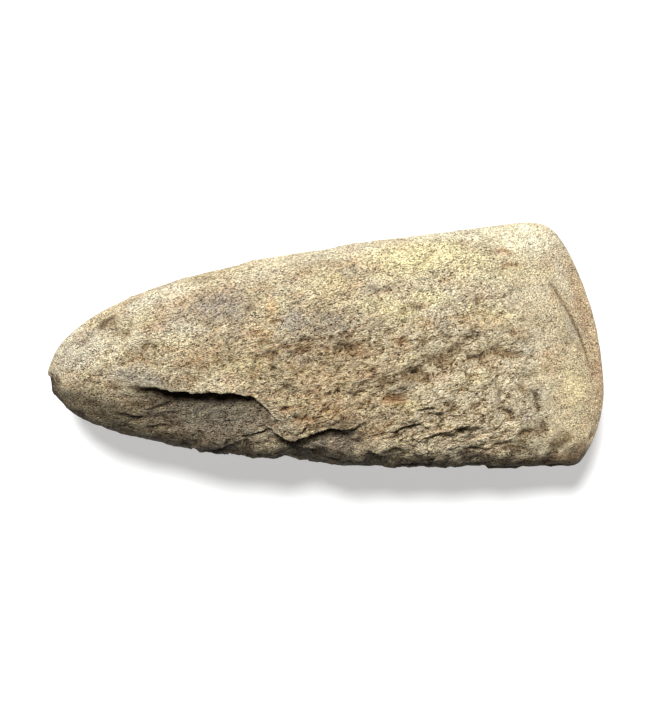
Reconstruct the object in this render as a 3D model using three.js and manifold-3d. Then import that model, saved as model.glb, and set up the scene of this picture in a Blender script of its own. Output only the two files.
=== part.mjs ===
// A polished stone axe head lying on its lower broad face, in millimetres, +Z up.
// The butt points to -X and the cutting edge to +X; the origin is under the middle of the stone.
import * as THREE from "three";
import { mergeVertices } from "three/addons/utils/BufferGeometryUtils.js";
import Module from "manifold-3d";

// Plan, measured from the tip of the butt along the axis.
const LENGTH = 149.5;
const HALF_WIDTH = 34.2;
const SHOULDER = 0.24; // how full the sides stand over their middle
const BUTT_FULLNESS = 0.293; // how full they stand over the butt
const BUTT_LEAN = 1.3; // how far the butt's tip leans to -Y
const BUTT_LEAN_SHARE = 0.33; // share of the length the lean takes
const BLADE_LEAN = 0.7; // how far the blade's end leans to +Y
const BLADE_LEAN_SHARE = 0.3;
const EDGE_APEX_Y = -10.8; // where the cutting edge reaches furthest
const EDGE_RADIUS_LONG = 88; // the cutting edge's curve on its +Y side
const EDGE_RADIUS_SHORT = 34.5; // and on its -Y side
const CORNER_NORTH = 12; // higher makes a tighter corner at the edge's +Y end
const CORNER_SOUTH = 40; // and at its -Y end

// Section.
const HALF_THICKNESS = 18.4;
const THICKEST_SHARE = 0.45; // where along the length the stone is thickest
const EDGE_SHARE = 0.17; // thickness left at the edge, before its own rounding
const BLADE_CURVE = 1.8; // how late the faces turn down to the edge
const FLANK_SQUARENESS = 2.5; // 2 is an ellipse, more is fuller
const REST_DEPTH = 1.3; // how much of the belly is ground flat

// Mesh.
const CELLS_ALONG = 38;
const CELLS_ACROSS = 24;
const CELLS_THICK = 12;
const RAY_STEPS = 40;
const MERGE_DISTANCE = 1e-3;
const FAR = 400;

// Ground bevel on each face: two points of its inner line and one on the edge.
const BEVEL_NORTH = new THREE.Vector2(133.8, 19.7);
const BEVEL_SOUTH = new THREE.Vector2(146.2, -9.5);
const BEVEL_LIP = new THREE.Vector2(146.0, 14.0);
const BEVEL_LIP_Z = 1.1;

// Flake scars, each a ball-shaped hollow sunk into a face. Side 1 is the upper face, -1 the underside.
// x and y are the middle, long and wide its half sizes, depth its deepest point and round the ball's
// own half height; heading turns it about the face's normal and lean rocks it about its long axis.
const SCARS = [
  // long scar under the main ledge
  { side: 1, x: 40.5, y: -17, long: 20, wide: 12.5, depth: 3.8, round: 7, heading: -10, lean: 4 },
  { side: 1, x: 48, y: -13.4, long: 12, wide: 5.2, depth: 2.6, round: 5, heading: -6, lean: 0 },
  { side: 1, x: 55.5, y: -20.5, long: 10.5, wide: 10.5, depth: 3.2, round: 7, heading: -30, lean: 2 },
  // scar below the short ledge
  { side: 1, x: 75, y: -25.6, long: 11.5, wide: 9.5, depth: 3, round: 6, heading: 1, lean: 2 },
  // hollow of the far ledge
  { side: 1, x: 95.5, y: -23.4, long: 7.5, wide: 5.2, depth: 1.1, round: 2.4, heading: 2, lean: -2 },
  // shallow valley across the upper face
  { side: 1, x: 103, y: -7, long: 19, wide: 4.8, depth: 0.9, round: 3.6, heading: 20, lean: -4 },
  // dished flank by the butt
  { side: 1, x: 16, y: 12, long: 11, wide: 5.2, depth: 1, round: 3, heading: 35, lean: 0 },
  // small flakes at the near corner of the edge
  { side: 1, x: 135, y: -29.8, long: 8.5, wide: 4.2, depth: 0.9, round: 2.4, heading: 0, lean: 0 },
  { side: 1, x: 145.6, y: -24.6, long: 3.5, wide: 2.4, depth: 0.7, round: 1.4, heading: 58, lean: 0 },
  // broad scars of the underside
  { side: -1, x: 34, y: 15, long: 17, wide: 9, depth: 2.2, round: 6, heading: 22, lean: 0 },
  { side: -1, x: 108, y: -19, long: 18, wide: 9, depth: 1.8, round: 6, heading: -8, lean: 0 },
  { side: -1, x: 52, y: -22, long: 13, wide: 7, depth: 1.8, round: 4.5, heading: -14, lean: 0 },
  { side: -1, x: 117, y: 21, long: 11, wide: 7, depth: 1.2, round: 4.5, heading: 10, lean: 0 },
];
const SCAR_SEGMENTS = 30;
const SCAR_RINGS = 18;
const SLOPE_STEP = 0.05;

// Chip at the tip of the butt.
const TIP_CHIP = { at: [-1.5, -2.4, 2.4], radii: [3, 3.6, 3.4] };

const wasm = await Module();
wasm.setup();

function solidFrom(geometry) {
  const bare = geometry.clone();
  bare.deleteAttribute("normal");
  bare.deleteAttribute("uv");
  const merged = mergeVertices(bare, MERGE_DISTANCE);
  const mesh = new wasm.Mesh({
    numProp: 3,
    vertProperties: new Float32Array(merged.attributes.position.array),
    triVerts: new Uint32Array(merged.index.array),
  });
  return new wasm.Manifold(mesh);
}

function geometryFrom(solid) {
  const mesh = solid.getMesh();
  const positions = new Float32Array(mesh.numVert * 3);
  for (let i = 0; i < mesh.numVert; i++) {
    const start = i * mesh.numProp;
    positions.set(mesh.vertProperties.subarray(start, start + 3), i * 3);
  }
  const geometry = new THREE.BufferGeometry();
  geometry.setAttribute("position", new THREE.BufferAttribute(positions, 3));
  geometry.setIndex(new THREE.BufferAttribute(mesh.triVerts, 1));
  return geometry;
}

function halfWidthAt(x) {
  const share = Math.min(x / LENGTH, 1);
  const back = 1 - share;
  return HALF_WIDTH * Math.sqrt(share) * (1 + SHOULDER * back + BUTT_FULLNESS * back * back);
}

function axisAt(x) {
  const butt = Math.max(1 - x / (LENGTH * BUTT_LEAN_SHARE), 0);
  const blade = Math.max(1 - (LENGTH - x) / (LENGTH * BLADE_LEAN_SHARE), 0);
  return BLADE_LEAN * blade - BUTT_LEAN * butt * butt;
}

function edgeAt(y) {
  const off = y - EDGE_APEX_Y;
  const radius = off > 0 ? EDGE_RADIUS_LONG : EDGE_RADIUS_SHORT;
  const reach = Math.min(Math.abs(off), radius);
  return LENGTH - radius + Math.sqrt(radius * radius - reach * reach);
}

// 0 on the axis, 1 on the outline, more than 1 outside it.
function rimShareAt(x, y) {
  if (x <= 0) return Infinity;
  const off = y - axisAt(x);
  const side = Math.abs(off) / halfWidthAt(x);
  const end = Math.max(1 - (edgeAt(y) - x) / HALF_WIDTH, 0);
  const corner = off > 0 ? CORNER_NORTH : CORNER_SOUTH;
  return (side ** corner + end ** corner) ** (1 / corner);
}

function envelopeAt(x) {
  const share = THREE.MathUtils.clamp(x / LENGTH, 0, 1);
  if (share < THICKEST_SHARE) {
    const back = 1 - share / THICKEST_SHARE;
    return Math.sqrt(1 - back * back);
  }
  const on = (share - THICKEST_SHARE) / (1 - THICKEST_SHARE);
  return 1 - (1 - EDGE_SHARE) * on ** BLADE_CURVE;
}

function heightAt(x, y) {
  const rim = Math.min(rimShareAt(x, y), 1);
  const dome = (1 - rim ** FLANK_SQUARENESS) ** (1 / FLANK_SQUARENESS);
  return HALF_THICKNESS * envelopeAt(x) * dome;
}

// Distance from the middle of the plan to the outline in one direction.
function reachOf(centre, angle) {
  let near = 0;
  let far = LENGTH;
  for (let i = 0; i < RAY_STEPS; i++) {
    const middle = (near + far) / 2;
    const x = centre.x + middle * Math.cos(angle);
    const y = centre.y + middle * Math.sin(angle);
    if (rimShareAt(x, y) < 1) near = middle;
    else far = middle;
  }
  return near;
}

// A gridded box rounded to a ball, then stretched to the outline and the section.
function roughout() {
  const box = new THREE.BoxGeometry(2, 2, 2, CELLS_ALONG, CELLS_ACROSS, CELLS_THICK);
  const centre = new THREE.Vector2(LENGTH / 2, 0);
  const point = new THREE.Vector3();
  const place = box.attributes.position;
  for (let i = 0; i < place.count; i++) {
    point.fromBufferAttribute(place, i);
    for (const axis of ["x", "y", "z"]) {
      point[axis] = Math.tan((point[axis] * Math.PI) / 4);
    }
    point.normalize();
    const angle = Math.atan2(point.y, point.x);
    const reach = reachOf(centre, angle) * Math.hypot(point.x, point.y);
    const x = centre.x + reach * Math.cos(angle);
    const y = centre.y + reach * Math.sin(angle);
    place.setXYZ(i, x, y, Math.abs(point.z) < MERGE_DISTANCE ? 0 : Math.sign(point.z) * heightAt(x, y));
  }
  return solidFrom(box);
}

// The outward normal of the upper face.
function normalAt(x, y) {
  const alongX = heightAt(x + SLOPE_STEP, y) - heightAt(x - SLOPE_STEP, y);
  const alongY = heightAt(x, y + SLOPE_STEP) - heightAt(x, y - SLOPE_STEP);
  return new THREE.Vector3(-alongX, -alongY, 2 * SLOPE_STEP).normalize();
}

function scarBall({ side, x, y, long, wide, depth, round, heading, lean }) {
  const turn = THREE.MathUtils.degToRad(heading);
  const rock = THREE.MathUtils.degToRad(lean);
  const out = normalAt(x, y);
  const forward = new THREE.Vector3(Math.cos(turn), Math.sin(turn), 0);
  forward.addScaledVector(out, -forward.dot(out)).normalize();
  out.applyAxisAngle(forward, rock);
  const across = out.clone().cross(forward);
  const spread = Math.sqrt(1 - (1 - depth / round) ** 2);
  const ball = new THREE.SphereGeometry(1, SCAR_SEGMENTS, SCAR_RINGS);
  ball.scale(long / spread, wide / spread, round);
  ball.applyMatrix4(new THREE.Matrix4().makeBasis(forward, across, out));
  ball.translate(x, y, heightAt(x, y));
  ball.translate(...out.multiplyScalar(round - depth).toArray());
  return side > 0 ? solidFrom(ball) : solidFrom(ball).mirror([0, 0, 1]);
}

function tipChip() {
  const ball = new THREE.SphereGeometry(1, SCAR_SEGMENTS, SCAR_RINGS);
  ball.scale(...TIP_CHIP.radii);
  ball.translate(...TIP_CHIP.at);
  return solidFrom(ball);
}

// A large box lying on the outer side of the plane through three points.
function beyondPlane(a, b, c, outward) {
  const normal = b.clone().sub(a).cross(c.clone().sub(a)).normalize();
  if (normal.dot(outward) < 0) normal.negate();
  const block = new THREE.BoxGeometry(FAR, FAR, FAR);
  block.translate(0, 0, FAR / 2);
  const turn = new THREE.Quaternion().setFromUnitVectors(new THREE.Vector3(0, 0, 1), normal);
  block.applyQuaternion(turn);
  block.translate(a.x, a.y, a.z);
  return solidFrom(block);
}

function bevelCut(side) {
  const corners = [BEVEL_NORTH, BEVEL_SOUTH].map(
    (p) => new THREE.Vector3(p.x, p.y, side * heightAt(p.x, p.y)),
  );
  const lip = new THREE.Vector3(BEVEL_LIP.x, BEVEL_LIP.y, side * BEVEL_LIP_Z);
  return beyondPlane(...corners, lip, new THREE.Vector3(1, 0, side));
}

function restCut() {
  const slab = new THREE.BoxGeometry(FAR, FAR, FAR);
  slab.translate(0, 0, REST_DEPTH - HALF_THICKNESS - FAR / 2);
  return solidFrom(slab);
}

const cuts = [...SCARS.map(scarBall), tipChip(), bevelCut(1), bevelCut(-1), restCut()];
const stone = cuts.reduce((body, cut) => body.subtract(cut), roughout());

const geometry = geometryFrom(stone);
geometry.computeBoundingBox();
const box = geometry.boundingBox;
const middle = box.getCenter(new THREE.Vector3());
geometry.translate(-middle.x, -middle.y, -box.min.z);
geometry.computeVertexNormals();

const axeHead = new THREE.Mesh(
  geometry,
  new THREE.MeshStandardMaterial({ color: 0xab9c7f, roughness: 0.9, metalness: 0 }),
);
axeHead.name = "axe_head";

const axe = new THREE.Group();
axe.name = "stone_axe";
axe.add(axeHead);

export default axe;
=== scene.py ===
"""Polished stone axe head, lying on a broad face: its visible stone, its studio and its camera."""

from __future__ import annotations

import logging
import math
from dataclasses import dataclass, field
from enum import Enum

import bpy
import numpy as np
from mathutils import Euler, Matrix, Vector


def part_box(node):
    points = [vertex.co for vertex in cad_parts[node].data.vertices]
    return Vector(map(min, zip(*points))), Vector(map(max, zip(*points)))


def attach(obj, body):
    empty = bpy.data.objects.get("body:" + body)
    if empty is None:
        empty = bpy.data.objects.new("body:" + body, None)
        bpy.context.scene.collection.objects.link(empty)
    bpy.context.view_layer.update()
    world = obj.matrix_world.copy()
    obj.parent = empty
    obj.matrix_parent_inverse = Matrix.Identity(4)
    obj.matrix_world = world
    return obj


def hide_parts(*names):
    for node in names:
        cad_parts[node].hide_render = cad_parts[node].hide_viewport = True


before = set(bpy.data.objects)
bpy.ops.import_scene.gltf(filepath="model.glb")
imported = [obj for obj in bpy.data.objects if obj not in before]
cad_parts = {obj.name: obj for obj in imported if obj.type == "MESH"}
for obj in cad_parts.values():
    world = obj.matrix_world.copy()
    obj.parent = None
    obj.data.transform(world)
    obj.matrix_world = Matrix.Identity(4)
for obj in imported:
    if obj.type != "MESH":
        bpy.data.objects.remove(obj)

LOG = logging.getLogger("axe")
NODE = "axe_head"
MM = 0.001
WHITE = (1.0, 1.0, 1.0, 1.0)

# the hash behind the seeded noise
WORD = 0xFFFFFFFF
SEED_STEP, SALT_STEP = 2654435761, 40503
AXIS_PRIMES = (73856093, 19349663, 83492791)
STIRS = ((16, 2146121005), (15, 2221713035))
WAVE_GAIN = 1.6
OCTAVE_SHIFT = 17.3

# farther than any line, next to nothing, and well past the outline
FAR = 1e9
TINY = 1e-9
OUTSIDE = 9.0

Span = tuple[float, float]
Line = tuple[Span, ...]
Colour = tuple[int, int, int]
Socket = bpy.types.NodeSocket


class Face(Enum):
    """The broad face that a mark lies on."""

    UPPER = 1
    UNDER = -1


class Stain(Enum):
    """What colours a patch of the stone; the value is the name of its mask on the mesh."""

    ASH = "ash"
    # darker stone, and painted shade under the ledges and along the near rim
    DARK_STONE_AND_SHADE = "dark_stone_and_painted_shade"
    OCHRE = "ochre"
    LICHEN = "lichen"
    CREAM = "cream"
    ROSE = "rose"


def smooth(low: float, high: float, value: np.ndarray) -> np.ndarray:
    """A soft step.

    Args:
        low: Where the step leaves 0.
        high: Where it reaches 1.
        value: The values to step.

    Returns:
        0 to 1, the shape of value.
    """
    t = np.clip((value - low) / (high - low), 0.0, 1.0)
    return t * t * (3.0 - 2.0 * t)


@dataclass(frozen=True)
class Lattice:
    """Seeded noise over points in millimetres."""

    seed: int = 7

    def _mix(self, cells: np.ndarray, salt: int) -> np.ndarray:
        """Hashes whole-number cells.

        Args:
            cells: Whole coordinates, (..., 3).
            salt: Which of several hashes.

        Returns:
            Values from 0 to 1, one a cell.
        """
        wide = cells.astype(np.int64).astype(np.uint64)
        word = np.uint64(WORD)
        mixed = np.uint64((self.seed * SEED_STEP + salt * SALT_STEP) & WORD)
        for axis, prime in enumerate(AXIS_PRIMES):
            mixed = mixed ^ ((wide[..., axis] * np.uint64(prime)) & word)
        for shift, factor in STIRS:
            mixed = ((mixed ^ (mixed >> np.uint64(shift))) * np.uint64(factor)) & word
        mixed ^= mixed >> np.uint64(16)
        return mixed.astype(np.float64) / (WORD + 1.0)

    def wave(self, points: np.ndarray) -> np.ndarray:
        """Gradient noise.

        Args:
            points: Places in cell units, (n, 3).

        Returns:
            About -1 to 1, (n,).
        """
        base = np.floor(points)
        part = points - base
        fade = part**3 * (part * (part * 6.0 - 15.0) + 10.0)
        total = np.zeros(len(points))
        for corner in np.ndindex(2, 2, 2):
            cell = base + corner
            turn = self._mix(cell, 1) * 2.0 * math.pi
            rise = self._mix(cell, 2) * 2.0 - 1.0
            flat = np.sqrt(np.maximum(1.0 - rise * rise, 0.0))
            slope = np.stack([flat * np.cos(turn), flat * np.sin(turn), rise], 1)
            weight = np.prod(np.where(np.array(corner) == 1, fade, 1.0 - fade), axis=1)
            total += weight * np.sum(slope * (part - corner), axis=1)
        return total * WAVE_GAIN

    def layers(self, points: np.ndarray, cell: float, count: int, keep: float = 0.5) -> np.ndarray:
        """Several octaves of wave noise.

        Args:
            points: Places in millimetres.
            cell: The coarsest cell, in millimetres.
            count: How many octaves.
            keep: How much of its strength each octave keeps.

        Returns:
            About -1 to 1.
        """
        total = np.zeros(len(points))
        strength, size, full = 1.0, cell, 0.0
        for octave in range(count):
            total += strength * self.wave(points / size + OCTAVE_SHIFT * octave)
            full += strength
            strength *= keep
            size *= 0.5
        return total / full

    def chips(self, points: np.ndarray, cell: float) -> np.ndarray:
        """Irregular cells, each with its own tilt.

        Args:
            points: Places in millimetres.
            cell: The cell's size, in millimetres.

        Returns:
            The facets' heights, about -1 to 1.
        """
        scaled = points / cell
        base = np.floor(scaled)
        best = np.full(len(points), OUTSIDE)
        height = np.zeros(len(points))
        for step in np.ndindex(3, 3, 3):
            cell_at = base + np.array(step) - 1.0
            jitter = np.stack([self._mix(cell_at, 3 + k) for k in range(3)], 1)
            away = scaled - (cell_at + 0.1 + 0.8 * jitter)
            gap = np.sqrt(np.sum(away * away, axis=1))
            turn = self._mix(cell_at, 7) * 2.0 * math.pi
            lean = away[:, 0] * np.cos(turn) + away[:, 1] * np.sin(turn)
            raised = self._mix(cell_at, 8) * 0.6 - 0.3 + lean
            nearer = gap < best
            height = np.where(nearer, raised, height)
            best = np.where(nearer, gap, best)
        return height


@dataclass(frozen=True)
class AxeForm:
    """The roughed-out stone, in millimetres.

    x runs from the butt's tip to the edge, y to the far side of the long axis, and z up from mid thickness.
    """

    length: float = 149.5
    half_width: float = 34.2
    shoulder: float = 0.24
    butt_fullness: float = 0.293
    butt_lean: float = 1.3
    butt_lean_share: float = 0.33
    blade_lean: float = 0.7
    blade_lean_share: float = 0.3
    apex_y: float = -10.8
    radius_long: float = 88.0
    radius_short: float = 34.5
    corner_north: float = 12.0
    corner_south: float = 40.0
    half_thickness: float = 18.4
    thickest_share: float = 0.45
    edge_share: float = 0.17
    blade_curve: float = 1.8
    squareness: float = 2.5
    rest_depth: float = 1.3
    halvings: int = 44

    def half_at(self, x: np.ndarray) -> np.ndarray:
        """The half width.

        Args:
            x: Distance from the butt.

        Returns:
            Half the width there.
        """
        share = np.clip(x / self.length, TINY, 1.0)
        back = 1.0 - share
        swell = 1.0 + self.shoulder * back + self.butt_fullness * back * back
        return self.half_width * np.sqrt(share) * swell

    def axis_at(self, x: np.ndarray) -> np.ndarray:
        """How far the stone leans aside.

        Args:
            x: Distance from the butt.

        Returns:
            The middle of the width there, as y.
        """
        butt = np.maximum(1.0 - x / (self.length * self.butt_lean_share), 0.0)
        blade = np.maximum(1.0 - (self.length - x) / (self.length * self.blade_lean_share), 0.0)
        return self.blade_lean * blade - self.butt_lean * butt * butt

    def edge_at(self, y: np.ndarray) -> np.ndarray:
        """Where the cutting edge lies.

        Args:
            y: Distance from the axis.

        Returns:
            The edge's x there.
        """
        off = y - self.apex_y
        radius = np.where(off > 0.0, self.radius_long, self.radius_short)
        reach = np.minimum(np.abs(off), radius)
        return self.length - radius + np.sqrt(radius * radius - reach * reach)

    def rim_at(self, x: np.ndarray, y: np.ndarray) -> np.ndarray:
        """How near the outline a plan point lies.

        Args:
            x: Distance from the butt.
            y: Distance from the axis.

        Returns:
            0 on the axis, 1 on the outline, more outside.
        """
        off = y - self.axis_at(x)
        side = np.minimum(np.abs(off) / self.half_at(x), OUTSIDE)
        end = np.clip(1.0 - (self.edge_at(y) - x) / self.half_width, 0.0, OUTSIDE)
        corner = np.where(off > 0.0, self.corner_north, self.corner_south)
        rim = (side**corner + end**corner) ** (1.0 / corner)
        return np.where(x > 0.0, rim, OUTSIDE)

    def height_at(self, x: np.ndarray, y: np.ndarray) -> np.ndarray:
        """The upper face's height.

        Args:
            x: Distance from the butt.
            y: Distance from the axis.

        Returns:
            Height over mid thickness.
        """
        share = np.clip(x / self.length, 0.0, 1.0)
        butt = np.sqrt(np.maximum(1.0 - (1.0 - share / self.thickest_share) ** 2, 0.0))
        on = np.maximum(share - self.thickest_share, 0.0) / (1.0 - self.thickest_share)
        blade = 1.0 - (1.0 - self.edge_share) * on**self.blade_curve
        envelope = np.where(share < self.thickest_share, butt, blade)
        rim = np.minimum(self.rim_at(x, y), 1.0)
        dome = (1.0 - rim**self.squareness) ** (1.0 / self.squareness)
        return self.half_thickness * envelope * dome

    def reach_at(self, angle: np.ndarray) -> np.ndarray:
        """Distance from the plan's middle to the outline.

        Args:
            angle: Directions in radians.

        Returns:
            The reach in each direction.
        """
        near = np.zeros_like(angle)
        far = np.full_like(angle, self.length)
        for _ in range(self.halvings):
            middle = (near + far) / 2.0
            x = self.length / 2.0 + middle * np.cos(angle)
            inside = self.rim_at(x, middle * np.sin(angle)) < 1.0
            near = np.where(inside, middle, near)
            far = np.where(inside, far, middle)
        return near


def share_along(line: Line, x: np.ndarray, y: np.ndarray) -> np.ndarray:
    """How far along a line each point lies.

    Args:
        line: The line's points.
        x: Distance from the butt.
        y: Distance from the axis.

    Returns:
        0 at the line's start, 1 at its end.
    """
    (ax, ay), (bx, by) = line[0], line[-1]
    dx, dy = bx - ax, by - ay
    return np.clip(((x - ax) * dx + (y - ay) * dy) / (dx * dx + dy * dy), 0.0, 1.0)


def gap_to(line: Line, x: np.ndarray, y: np.ndarray) -> tuple[np.ndarray, np.ndarray]:
    """How far each point lies from a line.

    Args:
        line: The line's points.
        x: Distance from the butt.
        y: Distance from the axis.

    Returns:
        The gap, and the gap again with a minus sign to the left of the line.
    """
    best = np.full(len(x), FAR)
    side = np.zeros(len(x))
    for (ax, ay), (bx, by) in zip(line, line[1:]):
        span = math.hypot(bx - ax, by - ay)
        dx, dy = (bx - ax) / span, (by - ay) / span
        t = np.clip((x - ax) * dx + (y - ay) * dy, 0.0, span)
        gap = np.hypot(x - ax - t * dx, y - ay - t * dy)
        right = (x - ax) * dy - (y - ay) * dx
        nearer = gap < best
        best = np.where(nearer, gap, best)
        side = np.where(nearer, np.sign(right) * gap, side)
    return best, side


@dataclass(frozen=True)
class Ledge:
    """A broken rim with lower stone to the right of its line, all in millimetres."""

    line: Line
    drop: float
    wall: float = 0.5
    reach: float = 6.0
    groove: float = 0.0
    groove_width: float = 0.9
    fade_in: float = 0.2
    fade_out: float = 0.2
    ragged: float = 0.35
    hold: float = 0.25
    face: Face = Face.UPPER
    shade_span: Span = (0.4, 2.4)
    shady_depth: float = 2.9
    shade_power: float = 1.4

    def sink(self, x: np.ndarray, y: np.ndarray, wobble: np.ndarray) -> tuple[np.ndarray, np.ndarray]:
        """How far the stone has gone below its rim.

        Args:
            x: Distance from the butt.
            y: Distance from the axis.
            wobble: Noise that roughens the rim.

        Returns:
            The depth, and how deep in shade a point of the ledge's foot lies, 0 to 1.
        """
        along = share_along(self.line, x, y)
        away = gap_to(self.line, x, y)[1] + self.ragged * wobble
        ends = smooth(0.0, self.fade_in, along) * smooth(0.0, self.fade_out, 1.0 - along)
        step = smooth(-0.2 * self.wall, 0.8 * self.wall, away)
        run_out = 1.0 - smooth(self.hold * self.reach, self.reach, away)
        pocket = np.exp(-(((away - 0.5 * self.groove_width) / (0.5 * self.groove_width)) ** 2))
        depth = ends * (self.drop * step * run_out + self.groove * pocket * step)
        near, far = (share * self.groove_width for share in self.shade_span)
        # painted shadow: the foot of the ledge that the colour is darkened over
        shade = ends * step * (1.0 - smooth(near, far, away))
        return depth, shade * min(((self.drop + self.groove) / self.shady_depth) ** self.shade_power, 1.0)


@dataclass(frozen=True)
class Crease:
    """A narrow line cut into the stone, or a narrow crest where the depth is negative."""

    line: Line
    depth: float
    width: float
    face: Face = Face.UPPER
    wander: float = 0.25
    taper: float = 0.25
    shade_per_mm: float = 1.5

    def sink(self, x: np.ndarray, y: np.ndarray, wobble: np.ndarray) -> tuple[np.ndarray, np.ndarray]:
        """How far the line sinks the stone.

        Args:
            x: Distance from the butt.
            y: Distance from the axis.
            wobble: Noise that makes the line wander.

        Returns:
            The depth, and how deep in shade the point lies.
        """
        along = share_along(self.line, x, y)
        gap = gap_to(self.line, x, y)[0] + self.wander * self.width * wobble
        core = np.exp(-((gap / self.width) ** 2))
        core *= smooth(0.0, self.taper, along) * smooth(0.0, self.taper, 1.0 - along)
        return self.depth * core, np.clip(self.depth * self.shade_per_mm, 0.0, 1.0) * core


@dataclass(frozen=True)
class Spot:
    """A soft-edged oval on a face: where it is, its half sizes, its turn in degrees and its strength."""

    x: float
    y: float
    long: float
    wide: float
    turn: float = 0.0
    amount: float = 1.0
    face: Face = Face.UPPER
    ragged: float = 0.45
    border: Span = (0.25, 1.25)

    def cover(self, x: np.ndarray, y: np.ndarray, wobble: np.ndarray) -> np.ndarray:
        """How strongly the oval covers each point.

        Args:
            x: Distance from the butt.
            y: Distance from the axis.
            wobble: Noise that breaks its border.

        Returns:
            0 to the oval's own amount.
        """
        c, s = math.cos(math.radians(self.turn)), math.sin(math.radians(self.turn))
        u = ((x - self.x) * c + (y - self.y) * s) / self.long
        v = (-(x - self.x) * s + (y - self.y) * c) / self.wide
        gap = np.sqrt(u * u + v * v) + self.ragged * wobble
        return self.amount * (1.0 - smooth(*self.border, gap))


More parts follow.
